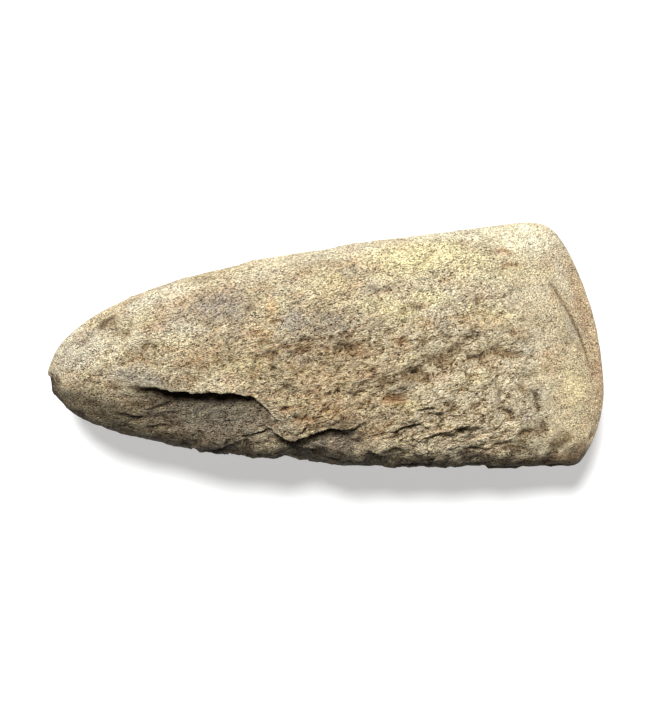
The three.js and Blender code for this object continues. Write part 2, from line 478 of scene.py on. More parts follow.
@dataclass(frozen=True)
class Weathering:
    """The named marks that breaks, wear and ground water left on the stone; the ledges and creases also
    give painted shadow, and some dark patches are painted shade.

    A ledge gives its line, drop, wall, reach, groove, groove width and fades. A crease gives its line,
    depth and width.
    """

    ledges: tuple[Ledge, ...] = (
        # main ledge over the long scar
        Ledge(
            ((20, -4.2), (25, -5.2), (29.7, -6), (35, -7.3), (40.5, -7.8), (46, -7.9), (51.5, -8.6),
             (55.5, -9.6), (58, -12), (60.6, -14.8), (63.2, -17.2), (65.6, -19.2)),
            drop=3.3, wall=0.5, reach=16.5, groove=0.9, groove_width=3.2,
            fade_in=0.3, fade_out=0.4, ragged=0.45, hold=0.45,
        ),
        # short ledge over the second scar
        Ledge(
            ((57.5, -19.4), (59.2, -18.6), (61, -19.4), (63, -21.2), (65.6, -22.4), (67.4, -21),
             (70.5, -20.4), (73, -19.6), (75.4, -18.7), (78.2, -19.2), (82, -18.8), (85.5, -17)),
            drop=2.2, wall=0.5, reach=9.5, groove=0.6, groove_width=1.9,
            fade_in=0.2, fade_out=0.3, ragged=0.2, hold=0.5,
        ),
        Ledge(((50, -21.2), (54, -20.4), (57.5, -19), (59.5, -18.4)), 0.6, 0.4, 5, 0.35, 0.8),
        # far ledge
        Ledge(((90, -21), (93, -20), (96, -19.2), (99, -19), (102, -20.4)), 0.9, 0.5, 6, 0.4, 1),
        Ledge(((98.5, -19.4), (96.4, -21.2), (93, -25)), 0.5, 0.6, 4, 0.2, 0.9),
        # lip of the shallow valley
        Ledge(
            ((78, -12.4), (83, -12.9), (86.5, -12.2), (89, -11.2), (92.5, -10.8), (96.5, -10.4), (100, -8)),
            0.8, 1.9, 5, 0.1, 1.2,
        ),
        Ledge(((118.8, -14.9), (121, -15.6), (122.7, -16.6), (124.8, -17.9)), 0.8, 0.4, 4, 0.5, 1),
        Ledge(((112, -15), (116.5, -14.6), (120, -15.6)), 0.4, 0.5, 3),
        # ripples of the middle
        Ledge(
            ((104, 5.8), (106.5, 4.9), (109, 3.8), (111.5, 4.4), (114.5, 3.7), (118, 4.4)),
            1.05, 1.2, 5, 0.3,
        ),
        Ledge(((111.5, -0.2), (113.4, -1.2), (115.6, -1.2), (117.5, 0.2)), 1.4, 0.96, 4.4, 0.5, 1),
        Ledge(((117, 0.4), (120.5, 1.2), (124, -0.6), (128, -0.8)), 0.88, 1.44, 4.4, 0.2),
        Ledge(((94, -3.6), (97, -4), (100.5, -5.2), (103, -4.6)), 1.05, 1.2, 4.4, 0.3),
        Ledge(((76, 2.3), (79.4, 3.4), (82.5, 3.1), (86, 4.4)), 1.05, 1.2, 4.4, 0.3),
        Ledge(((84, 1.2), (87.5, 1), (90.5, 2.2)), 0.7, 1.44, 3.8),
        Ledge(((101, -0.4), (104.5, -1.6), (109, -0.6)), 0.88, 1.44, 3.8, 0.3),
        Ledge(((76, -8.4), (79.5, -8.8), (82, -9.6), (86, -8.6)), 0.88, 1.44, 3.8, 0.3),
        Ledge(((115, -9.4), (118.5, -9), (120.5, -8)), 0.88, 1.2, 3.1, 0.3),
        Ledge(((125.5, -8.6), (128, -10.4), (131, -10.2)), 0.7, 1.44, 3.8),
        Ledge(((124, -22.6), (127.5, -21.8), (131.5, -21), (134, -20.4)), 1.05, 1.44, 5, 0.3),
        Ledge(((106, -26), (111, -25.6), (117, -24.6), (124, -24.8), (131, -24.6)), 1.22, 1.92, 6.2, 0.2),
        Ledge(((83.5, -25.4), (88, -26), (92, -24.8), (96, -26.4)), 1.22, 1.68, 5, 0.3),
        # corner facet
        Ledge(((141.5, -25), (138.6, -26.8), (136.4, -28.6), (135.6, -30.6)), 0.8, 0.6, 5, 0.3),
        # north side
        Ledge(((26, 5.4), (28.6, 6.3), (31.6, 5.6)), 0.5, 0.5, 2.6, 0.3),
        Ledge(((54, 13.6), (56, 14.4), (58, 13.6)), 0.35, 0.5, 2.2, 0.2),
        Ledge(((60.5, 10), (62.5, 10.9), (65, 10.5)), 0.45, 0.5, 2.4, 0.3),
        Ledge(((65, 14.2), (67, 14.6), (69, 15.2)), 0.35, 0.5, 2.2, 0.2),
        Ledge(((86, 18), (88, 18.3), (90.5, 17), (94, 17.6)), 0.45, 0.6, 2.6, 0.2),
        Ledge(((119.8, 24.6), (122, 26.6), (124, 26.6), (127.2, 24.4)), 0.3, 0.5, 2.4, 0.1),
        Ledge(((122, 21.6), (124.6, 22.6), (128, 21.8)), 0.3, 0.5, 2.2, 0.1),
        Ledge(((105, 19), (108, 19.4), (110, 18.4)), 0.3, 0.6, 2.6),
        # underside
        Ledge(((28, 6), (34, 8), (41, 7.4), (47, 9)), 1.2, 1, 8, 0.3, face=Face.UNDER),
        Ledge(((98, -8), (104, -9.6), (111, -9), (118, -11)), 1, 1, 8, 0.3, face=Face.UNDER),
        Ledge(((60, -12), (66, -14), (72, -13)), 0.7, 0.9, 6, 0.2, face=Face.UNDER),
        # butt
        Ledge(
            ((7.5, -2), (10, -2.8), (13.5, -3.2), (18, -4), (24, -4.8), (30, -6.2)),
            0.8, 2.4, 12, 0.1, 1.6, 0.35, 0.35,
        ),
        Ledge(((14, 11.6), (16.5, 13.8), (20, 14.8)), 0.6, 0.8, 4.5, 0.2),
    )
    creases: tuple[Crease, ...] = (
        Crease(((97, -15.2), (99, -15.4), (101.5, -15.1), (104, -14.7)), 0.8, 0.28),
        Crease(((25, -13.4), (28, -12.2), (31, -11.2), (34.5, -10)), 0.7, 0.45),
        Crease(((17, -11.6), (20.5, -12.8), (23, -14), (25.5, -15.2)), 0.6, 0.45),
        Crease(((31, -14), (35, -13.6), (39, -12.4)), 0.4, 0.5),
        Crease(((54.4, 2.4), (56.2, 1.4), (58, 0.4)), 0.4, 0.3),
        Crease(((40, -23), (46, -23.4), (52, -23.2)), 0.6, 0.6),
        Crease(((60, -22.6), (64, -24), (68, -24.4)), 0.5, 0.5),
        Crease(((109.6, 2), (110.4, 0.4), (111.6, -1)), 0.35, 0.4),
        Crease(((129.5, -11), (130.5, -15), (131, -19)), 0.35, 0.8),
        # inner line of the ground bevel
        Crease(
            ((132.5, 22.2), (133.8, 19.7), (137, 14.4), (139.3, 10.5), (141.6, 6.2), (143.4, 2.2),
             (144.9, -2.6), (145.9, -7.4), (146.2, -11)),
            0.32, 0.5,
        ),
        # bright crests
        Crease(((26, -4), (28.6, -4.6), (31, -5.4)), -0.35, 0.6),
        Crease(((60.5, -0.6), (63.5, -2.6), (67, -4.6)), -0.4, 0.8),
        Crease(((90.4, 5), (92.2, 2.8), (94.6, 0.5)), -0.35, 0.45),
        Crease(((94.4, 0.6), (97.5, 0.2), (101, 0.3)), -0.3, 0.45),
        Crease(((113.8, 0.9), (116.6, 2.4), (120, 3.2), (123.6, 2.2), (126, 1.6)), -0.45, 0.7),
        Crease(((28.8, 7.4), (31, 8.4), (33.6, 8.2)), -0.3, 0.6),
        Crease(((105.5, -10.6), (110, -9.6), (115, -9.8)), -0.35, 0.9),
    )
    # broad hollows, and rises where the amount is negative, in millimetres
    swells: tuple[Spot, ...] = (
        Spot(75, 1.5, 14, 6.5, 5, 1.4),
        Spot(91, -9, 12, 4.6, 14, 1.5),
        Spot(28, 3.5, 8, 3.4, 4, 0.5),
        Spot(104, -3.8, 18, 3.4, 20, 0.9),
        Spot(109, -10.6, 17, 4.2, 15, -1.1),
        Spot(94, 9, 11, 5.4, -24, -1),
        Spot(120, 4.4, 10, 5, -6, -0.9),
        Spot(107, -1.5, 6, 3, 10, 0.5),
        Spot(46, 14, 10, 5, -12, 0.5),
        Spot(46, 5, 9, 3.6, -8, -0.4),
        Spot(66, -12.5, 7, 4, -30, -0.6),
        Spot(11, 5, 9, 5, 26, -0.4),
        # broad scars of the underside
        Spot(34, 15, 17, 9, 22, 2, Face.UNDER),
        Spot(108, -19, 18, 9, -8, 1.6, Face.UNDER),
        Spot(52, -22, 13, 7, -14, 1.6, Face.UNDER),
        Spot(117, 21, 11, 7, 10, 1.1, Face.UNDER),
    )
    pits: tuple[Spot, ...] = (
        Spot(64.8, -7.3, 2.2, 1.2, -20, 0.7),
        Spot(61.2, -2.2, 1.6, 0.8, -40, 0.7),
        Spot(69.5, -0.9, 3.6, 1.4, -8, 0.7),
        Spot(50, -4.2, 1.4, 1.7, 0, 0.4),
        Spot(92.5, -11.9, 3.6, 1.3, 4, 0.8),
        Spot(99.5, -5.6, 2.4, 1.2, -12, 0.6),
        Spot(114.2, -2.2, 1.6, 0.8, 0, 0.8),
        Spot(107.5, 3.2, 2.2, 0.9, -18, 0.6),
        Spot(113.5, 2.9, 2.2, 0.8, 6, 0.6),
        Spot(124.6, 3.2, 1.6, 0.7, 8, 0.5),
        Spot(79.5, 4.5, 4.6, 2.6, 6, 0.6),
        Spot(118.4, -8.9, 1.8, 0.8, 26, 0.6),
        Spot(130.6, -13.4, 1.4, 3.4, 0, 0.4),
        Spot(17, 12.4, 3.2, 1.5, 34, 0.35),
        Spot(56, 14.3, 1.2, 0.7, 30, 0.5),
        Spot(96.6, -21.8, 2.4, 1.1, 30, 0.5),
        Spot(145.2, -25.2, 1.2, 0.8, 60, 0.7),
        Spot(1.6, -2.6, 2.4, 2.6, 0, 0.8),
        Spot(63.2, -13.2, 1.5, 0.6, 20, 0.5),
    )
    stains: dict[Stain, tuple[Spot, ...]] = field(default_factory=lambda: {
        Stain.ASH: (
            Spot(10, 5, 11, 5, 30, 0.6), Spot(67, 9.5, 5, 5, 0, 0.9), Spot(26, 14, 5, 4, 0, 0.4),
            Spot(76, 8, 12, 4.6, 8, 0.65), Spot(48, 14.5, 10, 5.5, -6, 0.75), Spot(38, 12, 8, 5, 0, 0.45),
            Spot(24, -2.5, 10, 3.4, -6, 0.8), Spot(69.5, -0.6, 4.5, 1.8, -6, 0.7),
            Spot(66, 1, 4, 1.4, 8, 0.5), Spot(88, 17, 3.4, 2, 0, 0.7), Spot(82.5, 22, 3.4, 2, 0, 0.4),
            Spot(46, -15, 20, 7, -8, 0.75), Spot(76, -24, 9, 4.5, 0, 0.6),
            Spot(105.5, 6.5, 3.5, 2.4, -30, 0.6), Spot(114, 3.4, 3, 1.6, 0, 0.5),
            Spot(131, -13, 3, 3, 0, 0.6), Spot(112, -28.6, 4, 2, 0, 0.5), Spot(120, -13, 4, 2, 0, 0.4),
            Spot(103, -17, 5, 1.8, -5, 0.4), Spot(65.5, 5.6, 4.4, 3.2, 0, 0.6),
            Spot(128, -18.4, 5, 2.6, 0, 0.5), Spot(52, 8, 7, 3, -20, 0.3), Spot(141.5, 4, 2, 4, 24, 0.5),
            Spot(128, -1.6, 3, 1.4, 0, 0.4),
        ),
        # darker stone, and painted shade: patches under the main ledge, on the scar floors, in pits and
        # along the near rim
        Stain.DARK_STONE_AND_SHADE: (
            Spot(1.6, -2.4, 2.4, 3.4, 10, 0.9), Spot(27, 5, 8, 2.6, 0, 0.4),
            Spot(10.5, -3.4, 4.2, 1.5, -8, 0.6), Spot(42, -10, 18, 3, -5, 0.9),
            Spot(40, -13.5, 22, 6.5, -6, 0.5), Spot(14, -8.5, 10, 5, -30, 0.75),
            Spot(126, -31.4, 16, 2.4, 0, 0.8), Spot(137, -28.5, 11, 4.2, 0, 0.9),
            Spot(24, -7, 10, 2.6, -14, 0.7), Spot(29, -5.4, 9, 2.2, -10, 1),
            Spot(79, -17.4, 7, 2.2, 4, 0.9), Spot(80, -22, 7, 3.4, 5, 0.9), Spot(80, -2, 6, 2.6, 0, 0.45),
            Spot(25, -2.5, 7, 2.2, 0, 0.6), Spot(50, 1.5, 3.4, 1.8, 0, 0.4), Spot(94.5, -9.2, 6.6, 2, 6, 1),
            Spot(90, -8, 10, 3, 12, 0.35), Spot(6, -7, 5, 2.4, -40, 0.3),
            Spot(131.5, -26.4, 8, 3.2, 8, 0.9), Spot(35, -5.2, 3.4, 1.3, -8, 0.8),
            Spot(62, -25.6, 9, 1.8, -6, 0.7), Spot(16.8, 12.6, 4.6, 1.9, 34, 0.6),
            Spot(64.9, -7.4, 2.6, 1.6, -20, 0.8), Spot(61.2, -2.2, 1.8, 1, -40, 0.5),
            Spot(22, 2, 3.4, 1.2, -16, 0.5), Spot(25, 0.6, 3, 1.4, 6, 0.4), Spot(29, 5.2, 2.6, 1.1, 6, 0.6),
            Spot(48, 16, 4, 1.6, 20, 0.35), Spot(79.6, 3.6, 4.6, 2.6, 4, 0.45),
            Spot(92.8, -11.4, 4, 1.1, 3, 0.6), Spot(98, -4.4, 3.4, 1.2, -6, 0.5),
            Spot(107, 3.6, 2.6, 1.2, -20, 0.5), Spot(114, -1.8, 1.8, 1, 0, 0.7),
            Spot(122.6, -16.6, 2.6, 1, -28, 0.6), Spot(118.4, -9, 2.2, 0.9, 24, 0.5),
            Spot(45, -22.5, 16, 2.2, -6, 0.6), Spot(30, -17.5, 12, 2.2, -16, 0.5),
            Spot(80, -27.6, 14, 2.4, 0, 0.6), Spot(115, -31, 24, 1.8, 0, 0.6),
            Spot(56, 14.2, 1.8, 1, 30, 0.6), Spot(145.4, -24.4, 1.8, 1.2, 66, 0.7),
            Spot(138, -28.6, 3.4, 1.4, 10, 0.5), Spot(132, -21.4, 3.4, 1.1, 14, 0.5),
            Spot(97, -20, 3.4, 1.2, 6, 0.5), Spot(17, -13, 8, 1.6, -22, 0.5),
        ),
        Stain.OCHRE: (
            Spot(57.4, 6.6, 5, 2.4, -8, 0.75), Spot(61.5, 13, 1.8, 4.4, 8, 0.6),
            Spot(62.5, 10.4, 2.6, 1, 10, 0.8), Spot(68, 16.2, 3.4, 1.4, 10, 0.5),
            Spot(94, 3, 3.6, 1.8, -24, 0.7), Spot(92.6, -12.4, 4.2, 1.8, 2, 0.9),
            Spot(96, -7.4, 3.6, 1.5, 0, 0.4), Spot(112, 7.6, 5, 2.4, 0, 0.5),
            Spot(118.5, 6.6, 7, 2.4, -12, 0.6), Spot(126, 3.4, 3.6, 2, -4, 0.6),
            Spot(121, -2, 5, 1.5, 0, 0.55), Spot(133.6, -4, 3.4, 3.4, 0, 0.4),
            Spot(63.4, -13.4, 3, 1.8, 14, 0.65), Spot(68, -16.4, 4, 2, 0, 0.5),
            Spot(75, -14, 5, 3, 0, 0.35), Spot(84.5, 1.5, 5, 2.4, 0, 0.35), Spot(78.2, 8, 3, 1.4, 10, 0.45),
            Spot(105, -21.4, 5, 1.6, -4, 0.5), Spot(134, -31, 14, 1.8, 1, 0.8),
            Spot(141.5, -28.6, 3, 2, 30, 0.6), Spot(48, -9.2, 14, 1.2, -3, 0.5),
            Spot(110, 18, 4, 3, 0, 0.3), Spot(101.5, 7, 4.4, 2.4, -12, 0.6), Spot(43, 1, 9, 2.4, 0, 0.3),
            Spot(66, 4, 5, 1.6, 0, 0.35), Spot(115, -27.4, 10, 2, 0, 0.4), Spot(86, -22, 5, 3, 0, 0.25),
        ),
        Stain.LICHEN: (
            Spot(94, 11, 9, 4, -20, 0.6), Spot(118, 9, 9, 3.6, -10, 0.5), Spot(113, 23, 8, 5, 0, 0.6),
            Spot(101, 24.5, 14, 5.5, 2, 0.8), Spot(107.5, 26, 8, 4, 0, 0.6),
            Spot(102.5, 14, 7, 2.6, -4, 0.7), Spot(114.5, 8.4, 5, 1.8, 0, 0.4),
            Spot(28, 12.8, 4, 3, 0, 0.35), Spot(64, 14, 4, 3, 0, 0.3), Spot(87, 12.4, 5, 2.6, 0, 0.4),
            Spot(75, 19, 10, 3.6, 0, 0.35), Spot(96.2, -13.8, 4, 1.8, 0, 0.5),
            Spot(113.4, -7.6, 5, 2, 0, 0.5), Spot(96, -1.6, 4, 2, 0, 0.3), Spot(141, -12, 4, 8, 0, 0.3),
            Spot(132, -26, 12, 1.8, 2, 0.15), Spot(52, -1, 9, 3, 0, 0.3), Spot(118, 22, 14, 7, 0, 0.35),
        ),
        Stain.CREAM: (
            Spot(12, 4.2, 13, 5, 16, 0.7), Spot(115, 16, 16, 8, 0, 0.5), Spot(134, 6, 6, 12, 0, 0.3),
            Spot(103, 11, 6, 3, -10, 0.5), Spot(88.5, 4.6, 5.4, 3, 0, 0.65), Spot(40, 9, 8, 3, 0, 0.45),
            Spot(110, 0, 27, 40, 0, 0.55), Spot(125, 11, 8, 6, 0, 0.5), Spot(66, 16, 8, 3, 0, 0.4),
            Spot(24, 7, 5, 3, 0, 0.5), Spot(36, 19, 9, 3, 14, 0.5), Spot(64, -16, 5, 3, -30, 0.4),
            Spot(130, 0, 4, 9, 0, 0.55), Spot(108, -14, 10, 4, 8, 0.45), Spot(109.5, -27, 8, 2.4, 0, 0.7),
            Spot(122, 9, 8, 4, 0, 0.4), Spot(131, 28, 16, 7, 0, 0.9), Spot(112, 31, 26, 3, 1, 0.7),
            Spot(76, 27.6, 26, 3, 5, 0.5), Spot(131, 14.5, 6, 5, 0, 0.5), Spot(128, 8.6, 5, 2.4, 0, 0.4),
            Spot(68, 19, 9, 3, 6, 0.5), Spot(111.5, -9.2, 8, 2.2, 4, 0.8), Spot(120, 2.6, 6, 1.2, 0, 0.45),
            Spot(58, 22.5, 12, 3, 8, 0.4), Spot(28.5, -4.4, 4, 1.2, -12, 0.5),
            Spot(44, -5, 10, 2.2, -4, 0.15), Spot(32, 8.4, 5, 2, 0, 0.35), Spot(31, 18, 11, 2.8, 22, 0.7),
            Spot(88, -23.6, 4, 2, 0, 0.35), Spot(92.6, 2.8, 3, 0.6, -50, 0.6),
            Spot(97, 0.4, 4.6, 0.6, -2, 0.5), Spot(6, 7.5, 8, 2.4, 45, 0.7), Spot(134.6, -18, 5, 2, 0, 0.3),
            Spot(139.5, 18, 3.4, 8, 22, 0.7), Spot(60.4, 5, 8, 1.2, -6, 0.35),
            Spot(112, -7, 14, 3.5, 8, 0.6), Spot(123, -18.4, 5, 1.6, 10, 0.3),
        ),
        Stain.ROSE: (
            Spot(145, 8, 3.4, 16, 14, 0.4), Spot(148, -8, 2.4, 14, 0, 0.4),
            Spot(84.6, -6, 2.2, 1.7, 0, 0.7), Spot(31.6, 9.6, 3.4, 1.3, 10, 0.6),
            Spot(123.2, 25.3, 3.6, 1.3, 0, 0.9), Spot(125, 21.8, 3.4, 0.9, 4, 0.6),
            Spot(49.8, -4, 1.7, 1.7, 0, 0.6), Spot(104, -7, 5, 1.6, 4, 0.4), Spot(36, 15, 7, 3, 0, 0.35),
            Spot(140.5, 20, 3, 8, 22, 0.2), Spot(118, -4.4, 6, 1.8, 0, 0.35), Spot(86, -12, 5, 1.6, 0, 0.3),
            Spot(46, 17, 10, 4, 0, 0.3), Spot(72, -8, 6, 3, 0, 0.25), Spot(116, 15, 6, 3, 0, 0.35),
        ),
    })


@dataclass(frozen=True)
class Zones:
    """Borders of the ground blade, the broken middle, and the painted shade on the near side, the butt and
    the underside; a pair is a soft step.
    """

    blade_x: float = 130.0
    blade_slant: float = -0.26
    blade_wander: float = 3.0
    blade_cell: float = 11.0
    blade_step: Span = (-5.0, 4.0)
    raw_middle: float = -0.27
    raw_across: Span = (0.7, 0.35)
    raw_start: Span = (45.0, 75.0)
    raw_end: Span = (133.0, 114.0)
    raw_below: Span = (0.2, 0.0)
    raw_wander: float = 8.0
    raw_ragged: float = 0.12
    # rim, butt and below: where painted shade darkens the side away from the light and the underside
    rim_ragged: float = 0.1
    butt_ragged: float = 0.05
    rim_across: Span = (0.8, 0.96)
    butt_across: Span = (0.25, 0.7)
    butt_end: Span = (70.0, 46.0)
    butt_tip: Span = (32.0, 18.0)
    butt_dark: Span = (0.6, 0.25)
    below: Span = (0.0, 0.7)
    below_dark: float = 0.45
    stain_below: Span = (0.3, 0.0)
    stain_ragged: float = 0.8


@dataclass(frozen=True)
class Pecking:
    """Heights and cells of the pecked and broken surface, in millimetres, and where it calms down."""

    heading_deg: float = 14.0
    stretch: float = 1.9
    broad: float = 0.62
    broad_cell: float = 17.0
    ripple: float = 0.8
    ripple_cell: float = 4.4
    bend: float = 0.9
    bend_cell: float = 3.6
    plate: float = 0.62
    plate_cell: float = 4.6
    fleck: float = 0.3
    fleck_cell: float = 1.9
    fine: float = 0.22
    fine_cell: float = 1.3
    crumple: float = 1.9
    crumple_cell: float = 4.2
    crumple_stretch: float = 1.7
    crumple_sway: float = 1.5
    torn_ripple: float = 0.3
    torn_fine: float = 0.12
    torn_sink: float = 0.38
    ground_calm: float = 0.9
    ground_level: float = 0.75
    far_calm: float = 0.55
    far_across: Span = (0.35, 0.85)
    far_below: Span = (0.4, 0.0)
    butt_calm: float = 0.25
    butt_end: Span = (30.0, 8.0)
    patch: Span = (0.75, 0.5)
    patch_cell: float = 24.0
    patch_step: Span = (-0.4, 0.6)
    rest_calm: float = 0.85
    rest_step: Span = (1.6, 0.2)


@dataclass(frozen=True)
class Bevel:
    """The ground facet behind the cutting edge, in millimetres."""

    inner_x: float = 142.6
    slant: float = 0.32
    bow: float = 0.0055
    bow_middle: float = 6.0
    near_end: Span = (-14.0, -4.0)
    far_end: Span = (17.0, 25.0)
    run: float = 4.0
    most: float = 1.6
    start: Span = (-0.5, 1.0)
    upper: float = 0.6
    under: float = 0.3
    crest: float = 0.16
    crest_back: float = 1.4
    crest_width: float = 1.3
    edge_room: Span = (0.3, 3.2)


@dataclass
class StoneSkin:
    """The whole surface of the axe head: its grid, its relief and the masks its finish reads."""

    form: AxeForm = field(default_factory=AxeForm)
    marks: Weathering = field(default_factory=Weathering)
    zones: Zones = field(default_factory=Zones)
    pecking: Pecking = field(default_factory=Pecking)
    bevel: Bevel = field(default_factory=Bevel)
    noise: Lattice = field(default_factory=Lattice)
    cells: tuple[int, int, int] = (222, 112, 70)
    wobble_cell: float = 2.6
    mark_reach: float = 22.0
    pit_share: float = 0.75
    nook_steps: int = 6
    nook_depth: float = 0.22
    hollow_steps: int = 40
    hollow_depth: float = 0.7
    chart_parts: Span = (33.0, 17.0)
    chart_half: Span = (0.49, 0.235)
    chart_rows: Span = (0.75, 0.25)
    places: np.ndarray = field(init=False)
    quads: np.ndarray = field(init=False)
    masks: dict[str, np.ndarray] = field(init=False, default_factory=dict)
    ball: np.ndarray = field(init=False)
    reach: np.ndarray = field(init=False)

    def build(self) -> "StoneSkin":
        """Makes the surface.

        Returns:
            This skin, with its places in millimetres, its quads and its masks.
        """
        corners, self.quads = self._grid()
        self.ball = self._ball(corners)
        base, self.reach = self._roughout(self.ball)
        normals = self._normals(base)
        wobble = self.noise.layers(base, self.wobble_cell, 2)
        self._zones(base, wobble)
        depth = self._marked(base, wobble) + self._bevel(*base.T) - self._pecking(base, wobble)
        self.places = base - normals * depth[:, None]
        floor = self.form.rest_depth - self.form.half_thickness
        self.places[:, 2] = np.maximum(self.places[:, 2], floor)
        self._hollows(depth)
        return self

    def _grid(self) -> tuple[np.ndarray, np.ndarray]:
        """The surface lattice of a box.

        Returns:
            Whole-number corners, (n, 3), and quads that face out, (m, 4).
        """
        cells = np.array(self.cells)
        faces = []
        for axis in range(3):
            first, second = (axis + 1) % 3, (axis + 2) % 3
            i, j = np.meshgrid(np.arange(cells[first]), np.arange(cells[second]), indexing="ij")
            for end in (0, 1):
                steps = ((0, 0), (1, 0), (1, 1), (0, 1))
                ring = []
                for di, dj in steps if end else steps[::-1]:
                    corner = np.zeros((i.size, 3), dtype=np.int64)
                    corner[:, axis] = end * cells[axis]
                    corner[:, first] = (i + di).ravel()
                    corner[:, second] = (j + dj).ravel()
                    ring.append(corner)
                faces.append(np.stack(ring, 1))
        loose = np.concatenate(faces).reshape(-1, 3)
        span = cells + 1
        keys = (loose[:, 0] * span[1] + loose[:, 1]) * span[2] + loose[:, 2]
        _, keep, quads = np.unique(keys, return_index=True, return_inverse=True)
        return loose[keep], quads.reshape(-1, 4)

    def _ball(self, corners: np.ndarray) -> np.ndarray:
        """The lattice rounded to a unit ball, with even angles."""
        flat = np.tan((2.0 * corners / np.array(self.cells) - 1.0) * math.pi / 4.0)
        return flat / np.linalg.norm(flat, axis=1, keepdims=True)

    def _roughout(self, ball: np.ndarray) -> tuple[np.ndarray, np.ndarray]:
        """Stretches the ball to the axe's outline and section.

        Args:
            ball: Points of the unit ball.

        Returns:
            The points in millimetres, and each point's reach to the outline.
        """
        angle = np.arctan2(ball[:, 1], ball[:, 0])
        table = np.linspace(-math.pi, math.pi, 4097)
        reach = np.interp(angle, table, self.form.reach_at(table))
        span = reach * np.hypot(ball[:, 0], ball[:, 1])
        x = self.form.length / 2.0 + span * np.cos(angle)
        y = span * np.sin(angle)
        on_rim = np.abs(ball[:, 2]) < TINY
        z = np.where(on_rim, 0.0, np.sign(ball[:, 2]) * self.form.height_at(x, y))
        z = np.maximum(z, self.form.rest_depth - self.form.half_thickness)
        return np.stack([x, y, z], 1), reach

    def _normals(self, places: np.ndarray) -> np.ndarray:
        """Averages the quads' normals at each point.

        Args:
            places: The points.

        Returns:
            Unit normals, one a point.
        """
        a, b, c, d = (places[self.quads[:, k]] for k in range(4))
        face = np.cross(c - a, d - b)
        total = np.zeros_like(places)
        for k in range(4):
            for axis in range(3):
                total[:, axis] += np.bincount(self.quads[:, k], face[:, axis], len(places))
        return total / np.maximum(np.linalg.norm(total, axis=1, keepdims=True), 1e-12)

    def _zones(self, base: np.ndarray, wobble: np.ndarray) -> None:
        """Masks the ground blade, the broken middle, the painted shade on the near side, the butt and the
        underside, and the stains.

        Args:
            base: Points of the roughed-out stone.
            wobble: Noise that makes the borders wander.
        """
        x, y, z = base.T
        zone = self.zones
        share = np.clip(y / self.form.half_at(x), -1.0, 1.0)
        down = -z / self.form.half_thickness
        border = zone.blade_x + zone.blade_slant * y
        border = border + zone.blade_wander * self.noise.layers(base, zone.blade_cell, 2)
        self.masks["ground"] = smooth(*zone.blade_step, x - border)
        wander = x + zone.raw_wander * wobble
        raw = smooth(*zone.raw_across, np.abs(share - zone.raw_middle) + zone.raw_ragged * wobble)
        raw = raw * smooth(*zone.raw_start, wander) * smooth(*zone.raw_end, wander)
        self.masks["raw"] = raw * smooth(*zone.raw_below, down)
        rim = smooth(*zone.rim_across, -share + zone.rim_ragged * wobble)
        butt = smooth(*zone.butt_across, -share + zone.butt_ragged * wobble) * smooth(*zone.butt_end, x)
        butt *= zone.butt_dark[0] + zone.butt_dark[1] * smooth(*zone.butt_tip, x)
        low = smooth(*zone.below, down)
        # painted shade: the side away from the light, the butt's near side and the underside are darkened
        # in the colour
        self.masks["painted_side_shade"] = np.maximum(np.maximum(rim, butt) * (1.0 - low), zone.below_dark * low)
        for stain, spots in self.marks.stains.items():
            covers = [spot.cover(x, y, zone.stain_ragged * wobble) for spot in spots]
            self.masks[stain.value] = np.max(covers, axis=0) * smooth(*zone.stain_below, down)

    def _calm(self, base: np.ndarray) -> np.ndarray:
        """How much of the pecking stands: less on the far side, at the butt and round the flat it rests on.

        Args:
            base: Points of the roughed-out stone.

        Returns:
            A share, about 0 to 1.25.
        """
        x, y, z = base.T
        peck = self.pecking
        share = np.clip(y / self.form.half_at(x), -1.0, 1.0)
        down = -z / self.form.half_thickness
        calm = 1.0 - peck.far_calm * smooth(*peck.far_across, share) * smooth(*peck.far_below, down)
        calm *= 1.0 - peck.butt_calm * smooth(*peck.butt_end, x)
        patches = self.noise.layers(base + 50.0, peck.patch_cell, 2)
        calm *= peck.patch[0] + peck.patch[1] * smooth(*peck.patch_step, patches)
        over_flat = z - self.form.rest_depth + self.form.half_thickness
        return calm * (1.0 - peck.rest_calm * smooth(*peck.rest_step, over_flat))

    def _pecking(self, base: np.ndarray, wobble: np.ndarray) -> np.ndarray:
        """The pecked and broken surface; fixed offsets keep its layers of noise apart.

        Args:
            base: Points of the roughed-out stone.
            wobble: Noise that bends its plates.

        Returns:
            Its height over the roughed-out stone, in millimetres.
        """
        x, y, z = base.T
        peck = self.pecking
        turn = math.radians(peck.heading_deg)
        along = x * math.cos(turn) + y * math.sin(turn)
        across = -x * math.sin(turn) + y * math.cos(turn)
        sheared = np.stack([along / peck.stretch, across, z], 1)
        bent = sheared.copy()
        bent[:, 1] += peck.bend * self.noise.layers(sheared + 31.0, peck.bend_cell, 1)
        swirl = np.stack([along / peck.crumple_stretch, across, z], 1)
        swirl[:, 1] += peck.crumple_sway * wobble
        broad = self.noise.layers(base, peck.broad_cell, 2)
        ripple = self.noise.layers(bent, peck.ripple_cell, 3, 0.55)
        plates = self.noise.chips(sheared + 0.5 * wobble[:, None], peck.plate_cell)
        flecks = self.noise.chips(sheared + 0.3 * wobble[:, None] + 9.0, peck.fleck_cell)
        fine = self.noise.layers(base, peck.fine_cell, 2, 0.6)
        crumple = np.abs(self.noise.layers(swirl + 71.0, peck.crumple_cell, 2))
        ground, raw = self.masks["ground"], self.masks["raw"]
        rough = self._calm(base) * (1.0 - peck.ground_calm * ground)
        relief = peck.broad * broad * (1.0 - peck.ground_level * ground)
        relief += rough * (peck.ripple * ripple + peck.plate * plates + peck.fine * fine)
        torn = peck.crumple * crumple + peck.torn_ripple * ripple + peck.torn_fine * fine - peck.torn_sink
        return relief + rough * (peck.fleck * flecks + raw * torn)

